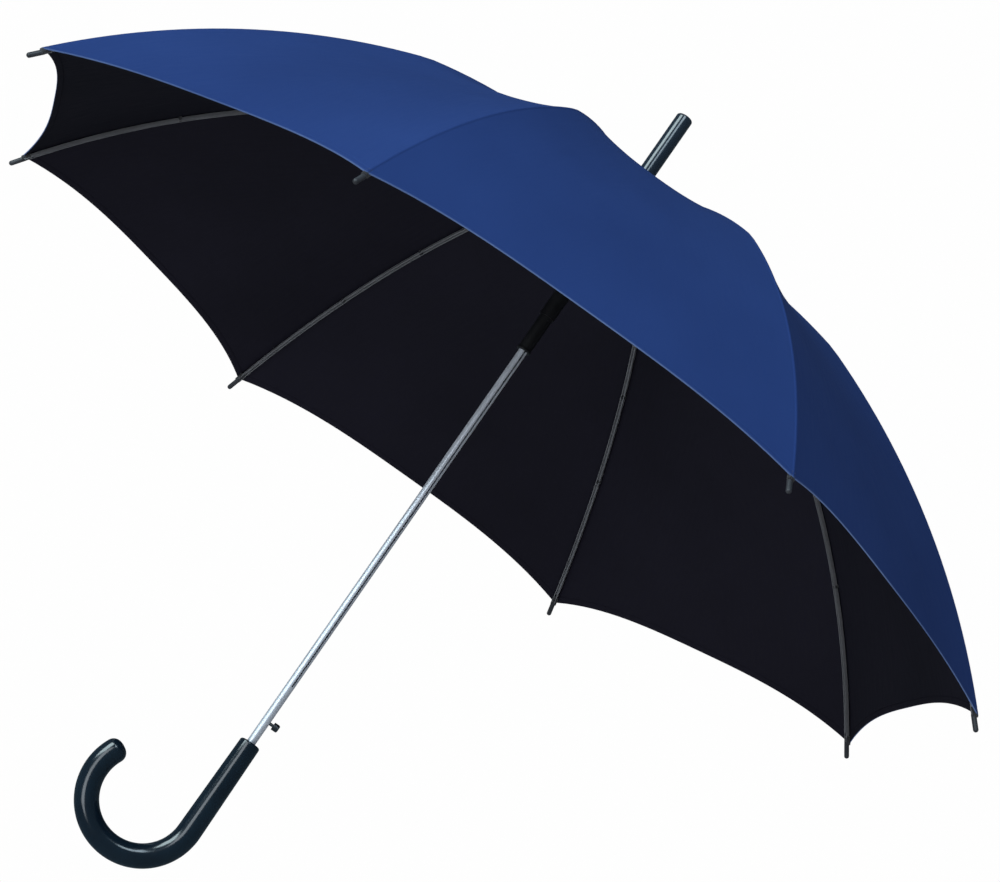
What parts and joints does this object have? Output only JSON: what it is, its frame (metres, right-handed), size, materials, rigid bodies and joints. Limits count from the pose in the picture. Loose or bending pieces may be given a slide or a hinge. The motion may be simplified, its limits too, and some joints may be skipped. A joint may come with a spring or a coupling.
{
  "type": "stick umbrella",
  "caption": "Automatic stick umbrella shown open: scalloped domed canopy on jointed ribs and stretchers, a sliding runner, release button, ferrule and crook handle.",
  "frame": {"origin": "middle of the straight grip of the handle, on the shaft's centre line", "axes": "+Z along the shaft toward the ferrule; the crook of the handle opens toward +X; ribs at 22.5 degrees and every 45 degrees from +X"},
  "size_m": [0.9538, 0.9538, 0.8289],
  "materials": {
    "steel_tube": "polished tube with fine draw lines",
    "handle_gloss": "glossy, very dark blue",
    "ferrule_gloss": "glossy, very dark blue",
    "hub_plastic": "black moulding, semi-gloss",
    "tie_wire": "drawn wire",
    "rosette_cloth": "woven, navy",
    "spring_steel": "drawn spring wire",
    "button_metal": "polished",
    "rib_steel": "dark grey, semi-gloss",
    "stretcher_steel": "black, semi-gloss",
    "cap_plastic": "dark moulding",
    "canopy_cloth": "woven polyester, navy outside and near black inside"
  },
  "bodies": {
    "shaft": {"shaft_tube": "steel_tube", "crook_handle": "handle_gloss", "ferrule_spike": "ferrule_gloss", "crown_notch": "hub_plastic", "crown_tie_wire": "tie_wire", "canopy_rosette": "rosette_cloth", "opening_spring": "spring_steel", "latch_spring": "spring_steel"},
    "runner": {"runner_sleeve": "hub_plastic", "runner_tie_wire": "tie_wire", "drive_pin": "button_metal"},
    "button": {"release_button": "button_metal"},
    "rib_1": {"rib_inner_1": "rib_steel"},
    "rib_end_1": {"rib_outer_1": "rib_steel", "rib_tip_1": "cap_plastic"},
    "prop_1": {"stretcher_1": "stretcher_steel"},
    "cloth_left_1": {"wing_left_1": "canopy_cloth"},
    "cloth_right_1": {"wing_right_1": "canopy_cloth"},
    "rib_2": {"rib_inner_2": "rib_steel"},
    "rib_end_2": {"rib_outer_2": "rib_steel", "rib_tip_2": "cap_plastic"},
    "prop_2": {"stretcher_2": "stretcher_steel"},
    "cloth_left_2": {"wing_left_2": "canopy_cloth"},
    "cloth_right_2": {"wing_right_2": "canopy_cloth"},
    "rib_3": {"rib_inner_3": "rib_steel"},
    "rib_end_3": {"rib_outer_3": "rib_steel", "rib_tip_3": "cap_plastic"},
    "prop_3": {"stretcher_3": "stretcher_steel"},
    "cloth_left_3": {"wing_left_3": "canopy_cloth"},
    "cloth_right_3": {"wing_right_3": "canopy_cloth"},
    "rib_4": {"rib_inner_4": "rib_steel"},
    "rib_end_4": {"rib_outer_4": "rib_steel", "rib_tip_4": "cap_plastic"},
    "prop_4": {"stretcher_4": "stretcher_steel"},
    "cloth_left_4": {"wing_left_4": "canopy_cloth"},
    "cloth_right_4": {"wing_right_4": "canopy_cloth"},
    "rib_5": {"rib_inner_5": "rib_steel"},
    "rib_end_5": {"rib_outer_5": "rib_steel", "rib_tip_5": "cap_plastic"},
    "prop_5": {"stretcher_5": "stretcher_steel"},
    "cloth_left_5": {"wing_left_5": "canopy_cloth"},
    "cloth_right_5": {"wing_right_5": "canopy_cloth"},
    "rib_6": {"rib_inner_6": "rib_steel"},
    "rib_end_6": {"rib_outer_6": "rib_steel", "rib_tip_6": "cap_plastic"},
    "prop_6": {"stretcher_6": "stretcher_steel"},
    "cloth_left_6": {"wing_left_6": "canopy_cloth"},
    "cloth_right_6": {"wing_right_6": "canopy_cloth"},
    "rib_7": {"rib_inner_7": "rib_steel"},
    "rib_end_7": {"rib_outer_7": "rib_steel", "rib_tip_7": "cap_plastic"},
    "prop_7": {"stretcher_7": "stretcher_steel"},
    "cloth_left_7": {"wing_left_7": "canopy_cloth"},
    "cloth_right_7": {"wing_right_7": "canopy_cloth"},
    "rib_8": {"rib_inner_8": "rib_steel"},
    "rib_end_8": {"rib_outer_8": "rib_steel", "rib_tip_8": "cap_plastic"},
    "prop_8": {"stretcher_8": "stretcher_steel"},
    "cloth_left_8": {"wing_left_8": "canopy_cloth"},
    "cloth_right_8": {"wing_right_8": "canopy_cloth"}
  },
  "joints": [
    {"name": "canopy_fold", "type": "hinge", "parent": "shaft", "child": "rib_1", "pos_m": [0.00647, 0.00268, 0.63], "axis": [-0.3827, 0.9239, 0], "range_deg": [0, 79.22], "stiffness_Nm_per_rad": 1.2, "springref_deg": -51.57, "deforming": ["opening_spring", "wing_left_1", "wing_right_1", "wing_left_2", "wing_right_2", "wing_left_3", "wing_right_3", "wing_left_4", "wing_right_4", "wing_left_5", "wing_right_5", "wing_left_6", "wing_right_6", "wing_left_7", "wing_right_7", "wing_left_8", "wing_right_8"]},
    {"name": "prop_fold_1", "type": "hinge", "parent": "rib_1", "child": "prop_1", "pos_m": [0.21288, 0.08818, 0.59947], "axis": [-0.3827, 0.9239, 0], "range_deg": [-158.94, 0]},
    {"name": "rib_straighten_1", "type": "hinge", "parent": "rib_1", "child": "rib_end_1", "pos_m": [0.21288, 0.08818, 0.59947], "axis": [-0.3827, 0.9239, 0], "range_deg": [-28.12, 0]},
    {"name": "runner_follow", "type": "hinge", "parent": "prop_1", "child": "runner", "pos_m": [0.00647, 0.00268, 0.56895], "axis": [-0.3827, 0.9239, 0], "range_deg": [0, 79.42]},
    {"name": "cloth_left_fold_1", "type": "hinge", "parent": "rib_1", "child": "cloth_left_1", "pos_m": [0.00647, 0.00268, 0.63], "axis": [0.9404, 0.154, -0.3032], "range_deg": [0, 70.11], "deforming": ["wing_left_1"]},
    {"name": "cloth_right_fold_1", "type": "hinge", "parent": "rib_1", "child": "cloth_right_1", "pos_m": [0.00647, 0.00268, 0.63], "axis": [-0.7739, -0.5561, 0.3032], "range_deg": [0, 70.11], "deforming": ["wing_right_1"]},
    {"name": "rib_fold_2", "type": "hinge", "parent": "shaft", "child": "rib_2", "pos_m": [0.00268, 0.00647, 0.63], "axis": [-0.9239, 0.3827, 0], "range_deg": [0, 79.22]},
    {"name": "prop_fold_2", "type": "hinge", "parent": "rib_2", "child": "prop_2", "pos_m": [0.08818, 0.21288, 0.59947], "axis": [-0.9239, 0.3827, 0], "range_deg": [-158.94, 0]},
    {"name": "rib_straighten_2", "type": "hinge", "parent": "rib_2", "child": "rib_end_2", "pos_m": [0.08818, 0.21288, 0.59947], "axis": [-0.9239, 0.3827, 0], "range_deg": [-28.12, 0]},
    {"name": "cloth_left_fold_2", "type": "hinge", "parent": "rib_2", "child": "cloth_left_2", "pos_m": [0.00268, 0.00647, 0.63], "axis": [0.5561, 0.7739, -0.3032], "range_deg": [0, 70.11], "deforming": ["wing_left_2"]},
    {"name": "cloth_right_fold_2", "type": "hinge", "parent": "rib_2", "child": "cloth_right_2", "pos_m": [0.00268, 0.00647, 0.63], "axis": [-0.154, -0.9404, 0.3032], "range_deg": [0, 70.11], "deforming": ["wing_right_2"]},
    {"name": "rib_fold_3", "type": "hinge", "parent": "shaft", "child": "rib_3", "pos_m": [-0.00268, 0.00647, 0.63], "axis": [-0.9239, -0.3827, 0], "range_deg": [0, 79.22]},
    {"name": "prop_fold_3", "type": "hinge", "parent": "rib_3", "child": "prop_3", "pos_m": [-0.08818, 0.21288, 0.59947], "axis": [-0.9239, -0.3827, 0], "range_deg": [-158.94, 0]},
    {"name": "rib_straighten_3", "type": "hinge", "parent": "rib_3", "child": "rib_end_3", "pos_m": [-0.08818, 0.21288, 0.59947], "axis": [-0.9239, -0.3827, 0], "range_deg": [-28.12, 0]},
    {"name": "cloth_left_fold_3", "type": "hinge", "parent": "rib_3", "child": "cloth_left_3", "pos_m": [-0.00268, 0.00647, 0.63], "axis": [-0.154, 0.9404, -0.3032], "range_deg": [0, 70.11], "deforming": ["wing_left_3"]},
    {"name": "cloth_right_fold_3", "type": "hinge", "parent": "rib_3", "child": "cloth_right_3", "pos_m": [-0.00268, 0.00647, 0.63], "axis": [0.5561, -0.7739, 0.3032], "range_deg": [0, 70.11], "deforming": ["wing_right_3"]},
    {"name": "rib_fold_4", "type": "hinge", "parent": "shaft", "child": "rib_4", "pos_m": [-0.00647, 0.00268, 0.63], "axis": [-0.3827, -0.9239, 0], "range_deg": [0, 79.22]},
    {"name": "prop_fold_4", "type": "hinge", "parent": "rib_4", "child": "prop_4", "pos_m": [-0.21288, 0.08818, 0.59947], "axis": [-0.3827, -0.9239, 0], "range_deg": [-158.94, 0]},
    {"name": "rib_straighten_4", "type": "hinge", "parent": "rib_4", "child": "rib_end_4", "pos_m": [-0.21288, 0.08818, 0.59947], "axis": [-0.3827, -0.9239, 0], "range_deg": [-28.12, 0]},
    {"name": "cloth_left_fold_4", "type": "hinge", "parent": "rib_4", "child": "cloth_left_4", "pos_m": [-0.00647, 0.00268, 0.63], "axis": [-0.7739, 0.5561, -0.3032], "range_deg": [0, 70.11], "deforming": ["wing_left_4"]},
    {"name": "cloth_right_fold_4", "type": "hinge", "parent": "rib_4", "child": "cloth_right_4", "pos_m": [-0.00647, 0.00268, 0.63], "axis": [0.9404, -0.154, 0.3032], "range_deg": [0, 70.11], "deforming": ["wing_right_4"]},
    {"name": "rib_fold_5", "type": "hinge", "parent": "shaft", "child": "rib_5", "pos_m": [-0.00647, -0.00268, 0.63], "axis": [0.3827, -0.9239, 0], "range_deg": [0, 79.22]},
    {"name": "prop_fold_5", "type": "hinge", "parent": "rib_5", "child": "prop_5", "pos_m": [-0.21288, -0.08818, 0.59947], "axis": [0.3827, -0.9239, 0], "range_deg": [-158.94, 0]},
    {"name": "rib_straighten_5", "type": "hinge", "parent": "rib_5", "child": "rib_end_5", "pos_m": [-0.21288, -0.08818, 0.59947], "axis": [0.3827, -0.9239, 0], "range_deg": [-28.12, 0]},
    {"name": "cloth_left_fold_5", "type": "hinge", "parent": "rib_5", "child": "cloth_left_5", "pos_m": [-0.00647, -0.00268, 0.63], "axis": [-0.9404, -0.154, -0.3032], "range_deg": [0, 70.11], "deforming": ["wing_left_5"]},
    {"name": "cloth_right_fold_5", "type": "hinge", "parent": "rib_5", "child": "cloth_right_5", "pos_m": [-0.00647, -0.00268, 0.63], "axis": [0.7739, 0.5561, 0.3032], "range_deg": [0, 70.11], "deforming": ["wing_right_5"]},
    {"name": "rib_fold_6", "type": "hinge", "parent": "shaft", "child": "rib_6", "pos_m": [-0.00268, -0.00647, 0.63], "axis": [0.9239, -0.3827, 0], "range_deg": [0, 79.22]},
    {"name": "prop_fold_6", "type": "hinge", "parent": "rib_6", "child": "prop_6", "pos_m": [-0.08818, -0.21288, 0.59947], "axis": [0.9239, -0.3827, 0], "range_deg": [-158.94, 0]},
    {"name": "rib_straighten_6", "type": "hinge", "parent": "rib_6", "child": "rib_end_6", "pos_m": [-0.08818, -0.21288, 0.59947], "axis": [0.9239, -0.3827, 0], "range_deg": [-28.12, 0]},
    {"name": "cloth_left_fold_6", "type": "hinge", "parent": "rib_6", "child": "cloth_left_6", "pos_m": [-0.00268, -0.00647, 0.63], "axis": [-0.5561, -0.7739, -0.3032], "range_deg": [0, 70.11], "deforming": ["wing_left_6"]},
    {"name": "cloth_right_fold_6", "type": "hinge", "parent": "rib_6", "child": "cloth_right_6", "pos_m": [-0.00268, -0.00647, 0.63], "axis": [0.154, 0.9404, 0.3032], "range_deg": [0, 70.11], "deforming": ["wing_right_6"]},
    {"name": "rib_fold_7", "type": "hinge", "parent": "shaft", "child": "rib_7", "pos_m": [0.00268, -0.00647, 0.63], "axis": [0.9239, 0.3827, 0], "range_deg": [0, 79.22]},
    {"name": "prop_fold_7", "type": "hinge", "parent": "rib_7", "child": "prop_7", "pos_m": [0.08818, -0.21288, 0.59947], "axis": [0.9239, 0.3827, 0], "range_deg": [-158.94, 0]},
    {"name": "rib_straighten_7", "type": "hinge", "parent": "rib_7", "child": "rib_end_7", "pos_m": [0.08818, -0.21288, 0.59947], "axis": [0.9239, 0.3827, 0], "range_deg": [-28.12, 0]},
    {"name": "cloth_left_fold_7", "type": "hinge", "parent": "rib_7", "child": "cloth_left_7", "pos_m": [0.00268, -0.00647, 0.63], "axis": [0.154, -0.9404, -0.3032], "range_deg": [0, 70.11], "deforming": ["wing_left_7"]},
    {"name": "cloth_right_fold_7", "type": "hinge", "parent": "rib_7", "child": "cloth_right_7", "pos_m": [0.00268, -0.00647, 0.63], "axis": [-0.5561, 0.7739, 0.3032], "range_deg": [0, 70.11], "deforming": ["wing_right_7"]},
    {"name": "rib_fold_8", "type": "hinge", "parent": "shaft", "child": "rib_8", "pos_m": [0.00647, -0.00268, 0.63], "axis": [0.3827, 0.9239, 0], "range_deg": [0, 79.22]},
    {"name": "prop_fold_8", "type": "hinge", "parent": "rib_8", "child": "prop_8", "pos_m": [0.21288, -0.08818, 0.59947], "axis": [0.3827, 0.9239, 0], "range_deg": [-158.94, 0]},
    {"name": "rib_straighten_8", "type": "hinge", "parent": "rib_8", "child": "rib_end_8", "pos_m": [0.21288, -0.08818, 0.59947], "axis": [0.3827, 0.9239, 0], "range_deg": [-28.12, 0]},
    {"name": "cloth_left_fold_8", "type": "hinge", "parent": "rib_8", "child": "cloth_left_8", "pos_m": [0.00647, -0.00268, 0.63], "axis": [0.7739, -0.5561, -0.3032], "range_deg": [0, 70.11], "deforming": ["wing_left_8"]},
    {"name": "cloth_right_fold_8", "type": "hinge", "parent": "rib_8", "child": "cloth_right_8", "pos_m": [0.00647, -0.00268, 0.63], "axis": [-0.9404, 0.154, 0.3032], "range_deg": [0, 70.11], "deforming": ["wing_right_8"]},
    {"name": "button_press", "type": "slide", "parent": "shaft", "child": "button", "axis": [1, 0, 0], "range_m": [0, 0.003], "stiffness_N_per_m": 900, "springref_m": -0.002, "deforming": ["latch_spring"]}
  ],
  "couplings": [
    {"joint": "prop_fold_1", "follows": "canopy_fold", "ratio": -2},
    {"joint": "rib_straighten_1", "follows": "canopy_fold", "ratio": -0.35244},
    {"joint": "runner_follow", "follows": "canopy_fold", "ratio": 1},
    {"joint": "cloth_left_fold_1", "follows": "canopy_fold", "ratio": 0.88247},
    {"joint": "cloth_right_fold_1", "follows": "canopy_fold", "ratio": 0.88247},
    {"joint": "rib_fold_2", "follows": "canopy_fold", "ratio": 1},
    {"joint": "prop_fold_2", "follows": "canopy_fold", "ratio": -2},
    {"joint": "rib_straighten_2", "follows": "canopy_fold", "ratio": -0.35244},
    {"joint": "cloth_left_fold_2", "follows": "canopy_fold", "ratio": 0.88247},
    {"joint": "cloth_right_fold_2", "follows": "canopy_fold", "ratio": 0.88247},
    {"joint": "rib_fold_3", "follows": "canopy_fold", "ratio": 1},
    {"joint": "prop_fold_3", "follows": "canopy_fold", "ratio": -2},
    {"joint": "rib_straighten_3", "follows": "canopy_fold", "ratio": -0.35244},
    {"joint": "cloth_left_fold_3", "follows": "canopy_fold", "ratio": 0.88247},
    {"joint": "cloth_right_fold_3", "follows": "canopy_fold", "ratio": 0.88247},
    {"joint": "rib_fold_4", "follows": "canopy_fold", "ratio": 1},
    {"joint": "prop_fold_4", "follows": "canopy_fold", "ratio": -2},
    {"joint": "rib_straighten_4", "follows": "canopy_fold", "ratio": -0.35244},
    {"joint": "cloth_left_fold_4", "follows": "canopy_fold", "ratio": 0.88247},
    {"joint": "cloth_right_fold_4", "follows": "canopy_fold", "ratio": 0.88247},
    {"joint": "rib_fold_5", "follows": "canopy_fold", "ratio": 1},
    {"joint": "prop_fold_5", "follows": "canopy_fold", "ratio": -2},
    {"joint": "rib_straighten_5", "follows": "canopy_fold", "ratio": -0.35244},
    {"joint": "cloth_left_fold_5", "follows": "canopy_fold", "ratio": 0.88247},
    {"joint": "cloth_right_fold_5", "follows": "canopy_fold", "ratio": 0.88247},
    {"joint": "rib_fold_6", "follows": "canopy_fold", "ratio": 1},
    {"joint": "prop_fold_6", "follows": "canopy_fold", "ratio": -2},
    {"joint": "rib_straighten_6", "follows": "canopy_fold", "ratio": -0.35244},
    {"joint": "cloth_left_fold_6", "follows": "canopy_fold", "ratio": 0.88247},
    {"joint": "cloth_right_fold_6", "follows": "canopy_fold", "ratio": 0.88247},
    {"joint": "rib_fold_7", "follows": "canopy_fold", "ratio": 1},
    {"joint": "prop_fold_7", "follows": "canopy_fold", "ratio": -2},
    {"joint": "rib_straighten_7", "follows": "canopy_fold", "ratio": -0.35244},
    {"joint": "cloth_left_fold_7", "follows": "canopy_fold", "ratio": 0.88247},
    {"joint": "cloth_right_fold_7", "follows": "canopy_fold", "ratio": 0.88247},
    {"joint": "rib_fold_8", "follows": "canopy_fold", "ratio": 1},
    {"joint": "prop_fold_8", "follows": "canopy_fold", "ratio": -2},
    {"joint": "rib_straighten_8", "follows": "canopy_fold", "ratio": -0.35244},
    {"joint": "cloth_left_fold_8", "follows": "canopy_fold", "ratio": 0.88247},
    {"joint": "cloth_right_fold_8", "follows": "canopy_fold", "ratio": 0.88247}
  ]
}
